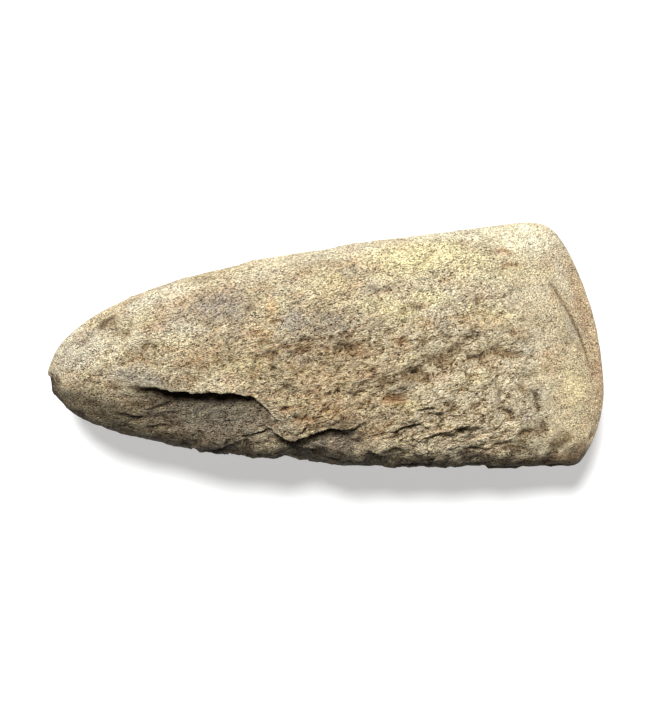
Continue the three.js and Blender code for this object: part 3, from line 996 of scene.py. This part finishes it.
    def _marked(self, base: np.ndarray, wobble: np.ndarray) -> np.ndarray:
        """Sinks the scars, ledges, cracks and pits, and keeps where they lie in shade.

        Args:
            base: Points of the roughed-out stone.
            wobble: Noise that roughens them.

        Returns:
            Depth in millimetres.
        """
        x, y, z = base.T
        down = smooth(0.0, 0.25, -z / self.form.half_thickness)
        here = {Face.UPPER: 1.0 - down, Face.UNDER: down}
        depth, shade = np.zeros(len(x)), np.zeros(len(x))
        for mark in (*self.marks.ledges, *self.marks.creases):
            where = np.flatnonzero((here[mark.face] > 0.0) & self._near(mark.line, x, y, self.mark_reach))
            sunk, dark = mark.sink(x[where], y[where], wobble[where])
            depth[where] += sunk * here[mark.face][where]
            shade[where] = np.maximum(shade[where], dark * here[mark.face][where])
        for spots, share in ((self.marks.pits, self.pit_share), (self.marks.swells, 1.0)):
            for spot in spots:
                depth += share * here[spot.face] * spot.cover(x, y, 0.5 * wobble)
        # painted shadow: where the ledges and creases lie in shade, darkened later in the colour
        self.masks["painted_ledge_shadow"] = np.clip(shade, 0.0, 1.0)
        return depth

    @staticmethod
    def _near(line: Line, x: np.ndarray, y: np.ndarray, far: float) -> np.ndarray:
        """Which points lie within far of a line's box."""
        xs, ys = [p[0] for p in line], [p[1] for p in line]
        return (x > min(xs) - far) & (x < max(xs) + far) & (y > min(ys) - far) & (y < max(ys) + far)

    def _bevel(self, x: np.ndarray, y: np.ndarray, z: np.ndarray) -> np.ndarray:
        """The ground facet behind the cutting edge and the faint line along its inner border.

        Args:
            x: Distance from the butt.
            y: Distance from the axis.
            z: Height over mid thickness.

        Returns:
            Depth in millimetres.
        """
        cut = self.bevel
        past = x - (cut.inner_x - cut.slant * y - cut.bow * (y - cut.bow_middle) ** 2)
        span = smooth(*cut.near_end, y) * (1.0 - smooth(*cut.far_end, y))
        facet = np.clip(past / cut.run, 0.0, cut.most) * smooth(*cut.start, past)
        crest = np.exp(-(((past + cut.crest_back) / cut.crest_width) ** 2)) * span
        room = smooth(*cut.edge_room, self.form.edge_at(y) - x)
        upper = cut.upper * facet * span * room - cut.crest * crest
        return np.where(z >= 0.0, upper, cut.under * facet * room)

    def _hollows(self, depth: np.ndarray) -> None:
        """Masks how far a point lies below its surroundings, near by and wider.

        Args:
            depth: How far each point is sunk, in millimetres.
        """
        sides = np.concatenate([self.quads[:, [k, (k + 1) % 4]] for k in range(4)])
        edges = np.unique(np.sort(sides, axis=1), axis=0)
        count = np.bincount(edges.ravel(), minlength=len(depth))
        level = depth.copy()
        for step in range(1, self.hollow_steps + 1):
            total = np.bincount(edges[:, 0], level[edges[:, 1]], len(depth))
            total += np.bincount(edges[:, 1], level[edges[:, 0]], len(depth))
            level = 0.5 * level + 0.5 * total / count
            if step == self.nook_steps:
                self.masks["nook"] = np.clip((depth - level) / self.nook_depth, -1.0, 1.0)
        self.masks["hollow"] = np.clip((depth - level) / self.hollow_depth, -1.0, 1.0)

    def charts(self) -> np.ndarray:
        """Texture places for each corner of each quad.

        Returns:
            (m * 4, 2), the upper side in the top half of the square and the underside below.
        """
        sin = np.hypot(self.ball[:, 0], self.ball[:, 1])
        cos = np.abs(self.ball[:, 2])
        flat, rise = self.chart_parts
        out = (flat * sin + rise * (1.0 - cos)) / (flat + rise)
        angle = np.arctan2(self.ball[:, 1], self.ball[:, 0])
        u = self.chart_half[0] * out * self.reach * np.cos(angle) / (self.form.length / 2.0)
        v = self.chart_half[1] * out * self.reach * np.sin(angle) / self.form.half_width
        corner = self.quads.ravel()
        top = np.repeat(self.ball[self.quads][:, :, 2].mean(1) > 0.0, 4)
        u, v = u[corner], v[corner]
        return np.stack([0.5 + np.where(top, u, -u), np.where(top, *self.chart_rows) + v], 1)


def tone(red: int, green: int, blue: int) -> tuple[float, float, float, float]:
    """Turns a screen colour into the linear colour a shader wants.

    Args:
        red: 0 to 255.
        green: 0 to 255.
        blue: 0 to 255.

    Returns:
        The linear colour, with full alpha.
    """
    parts = [c / 255.0 for c in (red, green, blue)]
    linear = [c / 12.92 if c <= 0.04045 else ((c + 0.055) / 1.055) ** 2.4 for c in parts]
    return (linear[0], linear[1], linear[2], 1.0)


@dataclass
class Sheet:
    """A node tree that is filled in from left to right."""

    tree: bpy.types.NodeTree
    column: int = 0

    def add(
        self, kind: str, inputs: dict[str | int, object] | None = None, **settings: object
    ) -> bpy.types.Node:
        """Adds a node.

        Args:
            kind: The node's type without its ShaderNode prefix.
            inputs: Values or sockets for its inputs, by name or number.
            settings: Its own settings.

        Returns:
            The node.
        """
        node = self.tree.nodes.new(kind if kind.startswith("NodeGroup") else "ShaderNode" + kind)
        self.column += 1
        node.location = (180 * (self.column % 24), -260 * (self.column // 24))
        for name, value in settings.items():
            setattr(node, name, value)
        for name, value in (inputs or {}).items():
            self.feed(node.inputs[name], value)
        return node

    def feed(self, socket: Socket, value: object) -> None:
        """Links a socket to an input, or sets the input's value.

        Args:
            socket: The input.
            value: The value or socket.
        """
        if isinstance(value, Socket):
            self.tree.links.new(value, socket)
        else:
            socket.default_value = value

    def sum(self, kind: str, first: object, second: object = 0.0, third: object = 0.0) -> Socket:
        """A Math node.

        Args:
            kind: Its operation.
            first: Its first value or socket.
            second: Its second.
            third: Its third, where the operation has one.

        Returns:
            Its result.
        """
        node = self.add("Math", operation=kind)
        for socket, value in zip(node.inputs, (first, second, third)):
            self.feed(socket, value)
        return node.outputs[0]

    def scaled(
        self, value: object, low: float, high: float, start: float = 0.0, end: float = 1.0
    ) -> Socket:
        """A value mapped from one range to another.

        Args:
            value: The value or socket.
            low: The range's start.
            high: Its end.
            start: What low becomes.
            end: What high becomes.

        Returns:
            The mapped value, clamped.
        """
        node = self.add("MapRange", {0: value, 1: low, 2: high, 3: start, 4: end})
        return node.outputs[0]

    def blend(self, amount: object, under: object, over: object, kind: str = "MIX") -> Socket:
        """A colour mix.

        Args:
            amount: How much of the second colour.
            under: The first colour.
            over: The second.
            kind: How they mix.

        Returns:
            The colour.
        """
        node = self.add("Mix", data_type="RGBA", blend_type=kind)
        self.feed(node.inputs[0], amount)
        self.feed(node.inputs[6], under)
        self.feed(node.inputs[7], over)
        return node.outputs[2]

    def noise(
        self, place: Socket, scale: float, detail: float, roughness: float, kind: str = "Fac"
    ) -> Socket:
        """A noise texture.

        Args:
            place: The point it is read at.
            scale: How many waves it has in a unit.
            detail: How many finer layers it has.
            roughness: How strong they are.
            kind: Fac for one value, Color for three.

        Returns:
            The noise, about 0 to 1.
        """
        inputs = {"Vector": place, "Scale": scale, "Detail": detail, "Roughness": roughness}
        return self.add("TexNoise", inputs).outputs[kind]

    def swayed(self, place: Socket, scale: float, sway: float) -> Socket:
        """Bends a place with slow noise.

        Args:
            place: The point.
            scale: How many bends it has in a unit.
            sway: How far they reach.

        Returns:
            The bent point.
        """
        wave = self.noise(place, scale, 1.0, 0.5, "Color")
        return self.vector("MULTIPLY_ADD", wave, (sway,) * 3, place)

    def vector(self, kind: str, first: object, second: object, third: object = (0.0,) * 3) -> Socket:
        """A Vector Math node.

        Args:
            kind: Its operation.
            first: Its first vector or socket.
            second: Its second.
            third: Its third, where the operation has one.

        Returns:
            Its result.
        """
        return self.add("VectorMath", {0: first, 1: second, 2: third}, operation=kind).outputs[0]

    def mask(self, name: str) -> Socket:
        """A mask that the mesh carries."""
        return self.add("Attribute", attribute_name=name).outputs["Fac"]


@dataclass(frozen=True)
class Pattern:
    """A pattern over the stone, as one node group: Place and its own size in, Value and Height out."""

    name: str
    size: str

    def group(self) -> bpy.types.NodeTree:
        """Builds the group once.

        Returns:
            The node group. Place and size are in millimetres, Value and Height about 0 to 1.
        """
        made = bpy.data.node_groups.get(self.name)
        if made:
            return made
        made = bpy.data.node_groups.new(self.name, "ShaderNodeTree")
        made.interface.new_socket("Place", in_out="INPUT", socket_type="NodeSocketVector")
        made.interface.new_socket(self.size, in_out="INPUT", socket_type="NodeSocketFloat")
        for result in ("Value", "Height"):
            made.interface.new_socket(result, in_out="OUTPUT", socket_type="NodeSocketFloat")
        sheet = Sheet(made)
        given = sheet.add("NodeGroupInput")
        near = sheet.sum("DIVIDE", 1.0, given.outputs[self.size])
        place = sheet.add("VectorMath", {0: given.outputs["Place"], "Scale": near}, operation="SCALE")
        value, height = self.draw(sheet, place.outputs[0])
        sheet.add("NodeGroupOutput", {"Value": value, "Height": height})
        return made

    def draw(self, sheet: Sheet, place: Socket) -> tuple[Socket, Socket]:
        """Draws the pattern.

        Args:
            sheet: The group's nodes.
            place: The point on the stone, in units of the pattern's size.

        Returns:
            The value and the height.
        """
        raise NotImplementedError

    def lay(self, sheet: Sheet, place: Socket, size: float) -> bpy.types.Node:
        """Places the pattern in a material.

        Args:
            sheet: The material's nodes.
            place: The point on the stone, in millimetres.
            size: The pattern's size, in millimetres.

        Returns:
            The group's node.
        """
        return sheet.add("Group", node_tree=self.group(), inputs={"Place": place, self.size: size})


@dataclass(frozen=True)
class MineralGrain(Pattern):
    """The salt-and-pepper grain of a coarse stone."""

    name: str = "mineral_grain"
    size: str = "Grain size"
    sway: float = 1.5

    def draw(self, sheet: Sheet, place: Socket) -> tuple[Socket, Socket]:
        """Draws the grain: cells, clouds and folds.

        Args:
            sheet: The group's nodes.
            place: The point on the stone, in grains.

        Returns:
            The value and the height.
        """
        bent = sheet.swayed(place, 0.5, self.sway)
        cloud = sheet.noise(bent, 1.0, 2.0, 0.7)
        fold = sheet.noise(bent, 0.7, 1.0, 0.5)
        off = sheet.sum("ABSOLUTE", sheet.sum("SUBTRACT", fold, 0.5))
        ridge = sheet.sum("SUBTRACT", 1.0, sheet.sum("MULTIPLY", off, 4.0))
        cells = sheet.add("TexVoronoi", {"Vector": place, "Scale": 1.7, "Randomness": 1.0})
        luck = sheet.add("SeparateColor", {0: cells.outputs["Color"]}).outputs[0]
        value = sheet.sum("MULTIPLY", luck, 0.4)
        value = sheet.sum("MULTIPLY_ADD", sheet.scaled(cloud, 0.25, 0.75), 0.4, value)
        value = sheet.sum("MULTIPLY_ADD", ridge, 0.2, value)
        return value, sheet.sum("MULTIPLY_ADD", ridge, 0.35, sheet.sum("MULTIPLY", cloud, 1.2))


@dataclass(frozen=True)
class BrokenFace(Pattern):
    """The crinkled face of a break: long wavy crests with creases between them."""

    name: str = "broken_face"
    size: str = "Crest spacing"
    sway: float = 3.2
    squeeze: float = 0.78

    def draw(self, sheet: Sheet, place: Socket) -> tuple[Socket, Socket]:
        """Draws the crests.

        Args:
            sheet: The group's nodes.
            place: The point on the stone, in crests.

        Returns:
            The value and the height.
        """
        place = sheet.vector("MULTIPLY", place, (self.squeeze, 1.0, 1.0))
        fold = sheet.noise(sheet.swayed(place, 0.45, self.sway), 1.0, 3.0, 0.62)
        off = sheet.sum("ABSOLUTE", sheet.sum("SUBTRACT", fold, 0.5))
        crest = sheet.sum("MAXIMUM", sheet.sum("MULTIPLY_ADD", off, -6.0, 1.0), -0.4)
        return crest, sheet.sum("MULTIPLY_ADD", crest, 0.4, fold)


@dataclass(frozen=True)
class WeatheredStone:
    """The stone's finish: pecked and weathered all over, ground smooth at the blade, with painted shade
    below ledges, on the near flank and underneath.
    """

    name: str = "weathered_stone"
    grain_mm: float = 0.3
    dust_mm: float = 0.2
    clump_mm: float = 1.15
    crest_mm: float = 1.15
    heading_deg: float = 12.0
    stretch: float = 1.9
    bed: tuple[Colour, ...] = ((138, 118, 88), (172, 154, 122), (200, 184, 148))
    bed_waves: float = 0.11
    mottle_step: Span = (0.48, 0.7)
    stain_waves: float = 0.55
    stain_gate: Span = (1.9, -0.2)
    roughness: float = 0.93
    ground_roughness: float = -0.22
    grain_roughness: float = -0.12
    shine: float = 0.3
    # waves in a millimetre, offset, colour and strength of each mottle
    mottles: tuple[tuple[float, float, Colour, float], ...] = (
        (0.30, 4.0, (178, 138, 106), 0.38),
        (0.24, 11.0, (128, 122, 106), 0.4),
        (0.42, 23.0, (222, 212, 174), 0.4),
    )
    stains: tuple[tuple[Stain, Colour, float], ...] = (
        (Stain.CREAM, (238, 231, 204), 0.85),
        (Stain.LICHEN, (226, 213, 156), 0.85),
        (Stain.ROSE, (188, 150, 122), 0.8),
        (Stain.OCHRE, (180, 136, 88), 0.8),
        (Stain.ASH, (156, 151, 142), 0.85),
        # darker stone and painted shade
        (Stain.DARK_STONE_AND_SHADE, (66, 58, 48), 0.7),
    )
    # contrast of grain, clumps and crests, and how the masks change it
    grain_contrast: float = 5.6
    clump_contrast: float = 0.4
    crest_contrast: float = 0.4
    torn_crests: float = 0.85
    # the grain shows stronger where the colour is darkened by painted shade on the near side
    contrast: tuple[tuple[str, float], ...] = (("raw", 0.3), ("ground", 0.3), ("painted_side_shade", 0.5), ("cream", -0.2))
    grain_range: Span = (0.1, 2.3)
    # mask, where its shade starts and is full, its strength and its colour
    shades: tuple[tuple[str, float, float, float, Colour], ...] = (
        ("nook", 0.05, 1.0, 0.5, (158, 138, 108)),
        ("hollow", 0.05, 1.0, 0.5, (176, 156, 128)),
        ("ground", 0.0, 1.0, 0.6, (233, 231, 227)),
        # painted shade on the side away from the light and on the underside
        ("painted_side_shade", 0.0, 1.0, 0.97, (98, 92, 82)),
        # painted shadow below the ledges and along the creases
        ("painted_ledge_shadow", 0.1, 0.9, 0.94, (86, 74, 60)),
    )
    crest_pale: Colour = (238, 226, 190)
    crease_tint: Colour = (222, 200, 168)
    # bump of each pattern: everywhere, added where torn, added where ground
    clump_bump: tuple[float, float, float] = (1.8, 1.4, -1.6)
    grain_bump: tuple[float, float, float] = (2.0, 0.8, -0.6)
    crest_bump: tuple[float, float, float] = (0.5, 1.8, -0.5)
    bump_mm: float = 0.36

    def make(self) -> bpy.types.Material:
        """Builds the material.

        Returns:
            The material.
        """
        material = bpy.data.materials.new(self.name)
        material.use_nodes = True
        material.node_tree.nodes.clear()
        sheet = Sheet(material.node_tree)
        place = self._place(sheet)
        grain = MineralGrain().lay(sheet, place, self.grain_mm)
        clumps = MineralGrain().lay(sheet, place, self.clump_mm)
        dust = MineralGrain().lay(sheet, place, self.dust_mm)
        crests = BrokenFace().lay(sheet, place, self.crest_mm)
        colour = self._mottled(sheet, place, self._bed_colour(sheet, place))
        colour = self._stained(sheet, place, colour)
        colour = self._grained(sheet, colour, grain, clumps, dust, crests)
        colour = self._worn(sheet, colour, crests)
        rough = sheet.sum("MULTIPLY_ADD", sheet.mask("ground"), self.ground_roughness, self.roughness)
        rough = sheet.sum("MULTIPLY_ADD", grain.outputs["Value"], self.grain_roughness, rough)
        normal = self._bumped(sheet, grain, clumps, crests)
        surface = sheet.add("BsdfPrincipled", {
            "Base Color": colour, "Roughness": rough, "Normal": normal, "Specular IOR Level": self.shine,
        })
        sheet.add("OutputMaterial", {"Surface": surface.outputs[0]})
        return material

    def _place(self, sheet: Sheet) -> Socket:
        """The point on the stone, squeezed along the axe so that patterns stretch that way.

        Args:
            sheet: The material's nodes.

        Returns:
            The point, in millimetres.
        """
        where = sheet.add("TexCoord").outputs["Object"]
        turn = {"Vector": where, "Angle": math.radians(-self.heading_deg)}
        turned = sheet.add("VectorRotate", turn, rotation_type="Z_AXIS").outputs[0]
        return sheet.vector("MULTIPLY", turned, (1.0 / MM / self.stretch, 1.0 / MM, 1.0 / MM))

    def _bed_colour(self, sheet: Sheet, place: Socket) -> Socket:
        """The stone's own buff, drifting over a few millimetres.

        Args:
            sheet: The material's nodes.
            place: The point on the stone.

        Returns:
            The colour.
        """
        drift = sheet.noise(place, self.bed_waves, 4.0, 0.6)
        ramp = sheet.add("ValToRGB", {"Fac": sheet.scaled(drift, 0.3, 0.7)})
        stops = ramp.color_ramp.elements
        dark, middle, light = self.bed
        stops[0].color = tone(*dark)
        stops[1].color = tone(*light)
        stops.new(0.5).color = tone(*middle)
        return ramp.outputs["Color"]

    def _mottled(self, sheet: Sheet, place: Socket, colour: Socket) -> Socket:
        """Drifts the colour to rust, grey and cream over a few millimetres.

        Args:
            sheet: The material's nodes.
            place: The point on the stone.
            colour: The colour so far.

        Returns:
            The mottled colour.
        """
        for scale, offset, shade, strength in self.mottles:
            moved = sheet.vector("ADD", place, (offset, -offset, 2.0 * offset))
            amount = sheet.scaled(sheet.noise(moved, scale, 3.0, 0.65), *self.mottle_step, 0.0, strength)
            colour = sheet.blend(amount, colour, tone(*shade))
        return colour

    def _stained(self, sheet: Sheet, place: Socket, colour: Socket) -> Socket:
        """Lays each kind of stain over the stone, broken up by noise.

        Args:
            sheet: The material's nodes.
            place: The point on the stone.
            colour: The colour so far.

        Returns:
            The stained colour.
        """
        gate = sheet.sum("MULTIPLY_ADD", sheet.noise(place, self.stain_waves, 4.0, 0.7), *self.stain_gate)
        for stain, shade, strength in self.stains:
            amount = sheet.sum("MULTIPLY", sheet.mask(stain.value), gate)
            amount = sheet.scaled(sheet.sum("MULTIPLY", amount, strength), 0.0, 1.0)
            colour = sheet.blend(amount, colour, tone(*shade))
        return colour

    def _grained(self, sheet: Sheet, colour: Socket, grain: bpy.types.Node, clumps: bpy.types.Node,
                 dust: bpy.types.Node, crests: bpy.types.Node) -> Socket:
        """Lightens and darkens the colour grain by grain.

        Args:
            sheet: The material's nodes.
            colour: The colour so far.
            grain: The fine grain.
            clumps: The coarse grain.
            dust: The finest grain, which takes the fine grain's place where the stone is ground.
            crests: The crests of the breaks.

        Returns:
            The grained colour.
        """
        ground, raw = sheet.mask("ground"), sheet.mask("raw")
        finest = sheet.sum("SUBTRACT", dust.outputs["Value"], grain.outputs["Value"])
        value = sheet.sum("MULTIPLY_ADD", finest, ground, grain.outputs["Value"])
        value = sheet.sum("MULTIPLY_ADD", value, self.grain_contrast, -0.5 * self.grain_contrast)
        value = sheet.sum("MULTIPLY", value, sheet.sum("MULTIPLY_ADD", raw, -0.25, 1.0))
        clump = self.clump_contrast
        wide = sheet.sum("MULTIPLY_ADD", clumps.outputs["Value"], clump, -0.5 * clump)
        wide = sheet.sum("MULTIPLY", wide, sheet.sum("MULTIPLY_ADD", ground, -0.8, 1.0))
        torn = sheet.sum("MULTIPLY_ADD", raw, self.torn_crests, self.crest_contrast)
        lift = sheet.sum("ADD", crests.outputs["Value"], -0.45)
        value = sheet.sum("MULTIPLY_ADD", lift, torn, sheet.sum("ADD", value, wide))
        spread: Socket | float = 1.0
        for name, share in self.contrast:
            spread = sheet.sum("MULTIPLY_ADD", sheet.mask(name), share, spread)
        value = sheet.sum("MULTIPLY_ADD", value, spread, 1.0)
        value = sheet.scaled(value, *self.grain_range, *self.grain_range)
        grey = sheet.add("CombineColor", {0: value, 1: value, 2: value}).outputs[0]
        return sheet.blend(1.0, colour, grey, "MULTIPLY")

    def _worn(self, sheet: Sheet, colour: Socket, crests: bpy.types.Node) -> Socket:
        """Pales what stands up, darkens hollows, and paints shadow below ledges and creases and shade on
        the near flank, but not their grain.

        Args:
            sheet: The material's nodes.
            colour: The colour so far.
            crests: The crests of the breaks.

        Returns:
            The worn colour.
        """
        raised = sheet.scaled(sheet.mask("nook"), 0.0, -1.0, 0.0, 0.3)
        colour = sheet.blend(raised, colour, tone(*self.crest_pale))
        crease = sheet.sum("MULTIPLY", sheet.mask("raw"), sheet.scaled(crests.outputs["Value"], 0.9, 0.1))
        colour = sheet.blend(crease, colour, tone(*self.crease_tint), "MULTIPLY")
        for name, low, high, strength, shade in self.shades:
            amount = sheet.scaled(sheet.mask(name), low, high, 0.0, strength)
            colour = sheet.blend(amount, colour, tone(*shade), "MULTIPLY")
        return colour

    def _bumped(self, sheet: Sheet, grain: bpy.types.Node, clumps: bpy.types.Node,
                crests: bpy.types.Node) -> Socket:
        """Raises the grains.

        Args:
            sheet: The material's nodes.
            grain: The fine grain.
            clumps: The coarse grain.
            crests: The crests of the breaks.

        Returns:
            The normal.
        """
        raw, ground = sheet.mask("raw"), sheet.mask("ground")
        height: Socket | float = 0.0
        layers = ((clumps, self.clump_bump), (grain, self.grain_bump), (crests, self.crest_bump))
        for layer, (plain, torn, worn) in layers:
            deep = sheet.sum("MULTIPLY_ADD", raw, torn, sheet.sum("MULTIPLY_ADD", ground, worn, plain))
            height = sheet.sum("MULTIPLY_ADD", layer.outputs["Height"], deep, height)
        depth = self.bump_mm * MM
        return sheet.add("Bump", {"Height": height, "Strength": 1.0, "Distance": depth}).outputs[0]


@dataclass
class AxeHead:
    """The one piece: the stone, placed where the model says."""

    finish: WeatheredStone = field(default_factory=WeatheredStone)
    skin: StoneSkin = field(default_factory=StoneSkin)

    def build(self) -> bpy.types.Object:
        """Makes the stone and ties it to the model.

        Returns:
            The stone's object.
        """
        skin = self.skin.build()
        low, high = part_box(NODE)
        places = self._fitted(skin.places, low, high)
        mesh = bpy.data.meshes.new("axe_head_stone")
        mesh.vertices.add(len(places))
        mesh.vertices.foreach_set("co", places.ravel())
        mesh.loops.add(skin.quads.size)
        mesh.loops.foreach_set("vertex_index", skin.quads.ravel().astype(np.int32))
        mesh.polygons.add(len(skin.quads))
        mesh.polygons.foreach_set("loop_start", np.arange(0, skin.quads.size, 4, dtype=np.int32))
        mesh.polygons.foreach_set("use_smooth", np.ones(len(skin.quads), dtype=bool))
        mesh.update(calc_edges=True)
        mesh.uv_layers.new(name="OFBake").data.foreach_set("uv", skin.charts().ravel())
        for name, values in skin.masks.items():
            mesh.attributes.new(name, "FLOAT", "POINT").data.foreach_set("value", values.astype(np.float32))
        mesh.validate()
        mesh.materials.append(self.finish.make())
        stone = bpy.data.objects.new("axe_head_stone", mesh)
        bpy.context.scene.collection.objects.link(stone)
        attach(stone, "root")
        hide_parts(NODE)
        return stone

    def _fitted(self, places: np.ndarray, low: Vector, high: Vector) -> np.ndarray:
        """Moves the stone from its own millimetres to the model's box.

        Args:
            places: Points in millimetres.
            low: The model's lowest corner.
            high: Its highest corner.

        Returns:
            Points in metres.
        """
        form = self.skin.form
        middle = (form.length / 2.0, 0.0, form.rest_depth - form.half_thickness)
        goal = np.array([(low.x + high.x) / 2.0, (low.y + high.y) / 2.0, low.z])
        return (places - np.array(middle)) * MM + goal


@dataclass
class Studio:
    """The pale floor, the soft light and the camera."""

    floor_width: float = 12.0
    camera_lens: float = 85.0
    frame_long_side: float = 0.1896
    lean_deg: float = 3.0
    aim: Span = (0.0020, 0.0014)
    sun_from: Span = (-14.0, 60.5)
    sun_strength: float = 5.1
    sun_spread_deg: float = 17.0
    world_strength: float = 0.12
    wall_brightness: float = 0.82
    floor_shade: float = 0.6
    floor_glow: float = 0.45

    def build(self, low: Vector, high: Vector) -> None:
        """Sets up everything round the stone.

        Args:
            low: The stone's lowest corner.
            high: Its highest corner.
        """
        self._floor(low.z)
        self._world()
        self._sun()
        self._camera(low, high)
        bpy.context.scene.view_settings.view_transform = "Standard"

    def _floor(self, level: float) -> None:
        """Lays the floor.

        Args:
            level: Its height.
        """
        half = self.floor_width / 2.0
        mesh = bpy.data.meshes.new("floor")
        corners = [(-half, -half, level), (half, -half, level), (half, half, level), (-half, half, level)]
        mesh.from_pydata(corners, [], [(0, 1, 2, 3)])
        material = bpy.data.materials.new("pale_floor")
        material.use_nodes = True
        shader = material.node_tree.nodes["Principled BSDF"]
        shader.inputs["Base Color"].default_value = (self.floor_shade,) * 3 + (1.0,)
        shader.inputs["Roughness"].default_value = 0.9
        shader.inputs["Specular IOR Level"].default_value = 0.0
        shader.inputs["Emission Color"].default_value = WHITE
        shader.inputs["Emission Strength"].default_value = self.floor_glow
        mesh.materials.append(material)
        floor = bpy.data.objects.new("floor", mesh)
        bpy.context.scene.collection.objects.link(floor)

    def _world(self) -> None:
        """Fills the room with even light, before a pale wall."""
        world = bpy.data.worlds.new("room")
        world.use_nodes = True
        world.node_tree.nodes.clear()
        sheet = Sheet(world.node_tree)
        light = sheet.add("Background", {"Color": WHITE, "Strength": self.world_strength})
        wall = sheet.add("Background", {"Color": WHITE, "Strength": self.wall_brightness})
        seen = sheet.add("LightPath").outputs["Is Camera Ray"]
        room = sheet.add("MixShader", {0: seen, 1: light.outputs[0], 2: wall.outputs[0]})
        sheet.add("OutputWorld", {"Surface": room.outputs[0]})
        bpy.context.scene.world = world

    def _sun(self) -> None:
        """Hangs the main light beyond the far side of the stone."""
        light = bpy.data.lights.new("main_light", "SUN")
        light.energy = self.sun_strength
        light.angle = math.radians(self.sun_spread_deg)
        lamp = bpy.data.objects.new("main_light", light)
        turn, rise = (math.radians(v) for v in self.sun_from)
        toward = Vector((math.sin(turn) * math.cos(rise), math.cos(turn) * math.cos(rise), math.sin(rise)))
        lamp.rotation_mode = "QUATERNION"
        lamp.rotation_quaternion = toward.to_track_quat("Z", "Y")
        bpy.context.scene.collection.objects.link(lamp)

    def _camera(self, low: Vector, high: Vector) -> None:
        """Looks straight down on the stone.

        Args:
            low: The stone's lowest corner.
            high: Its highest corner.
        """
        data = bpy.data.cameras.new("camera")
        data.lens = self.camera_lens
        camera = bpy.data.objects.new("camera", data)
        away = self.frame_long_side * self.camera_lens / data.sensor_width
        middle = (low + high) / 2.0
        camera.location = (middle.x + self.aim[0], middle.y + self.aim[1], middle.z + away)
        camera.rotation_euler = Euler((0.0, 0.0, -math.radians(self.lean_deg)))
        bpy.context.scene.collection.objects.link(camera)
        bpy.context.scene.camera = camera


def main() -> None:
    """Builds the stone and its studio, and reports them."""
    logging.basicConfig(level=logging.INFO, format="%(name)s: %(message)s")
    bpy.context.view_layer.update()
    stone = AxeHead().build()
    LOG.info("%s: %d points, %d quads", stone.name, len(stone.data.vertices), len(stone.data.polygons))
    Studio().build(*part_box(NODE))
    LOG.info("studio: floor, room light, main light and camera")


if __name__ == "__main__":
    main()
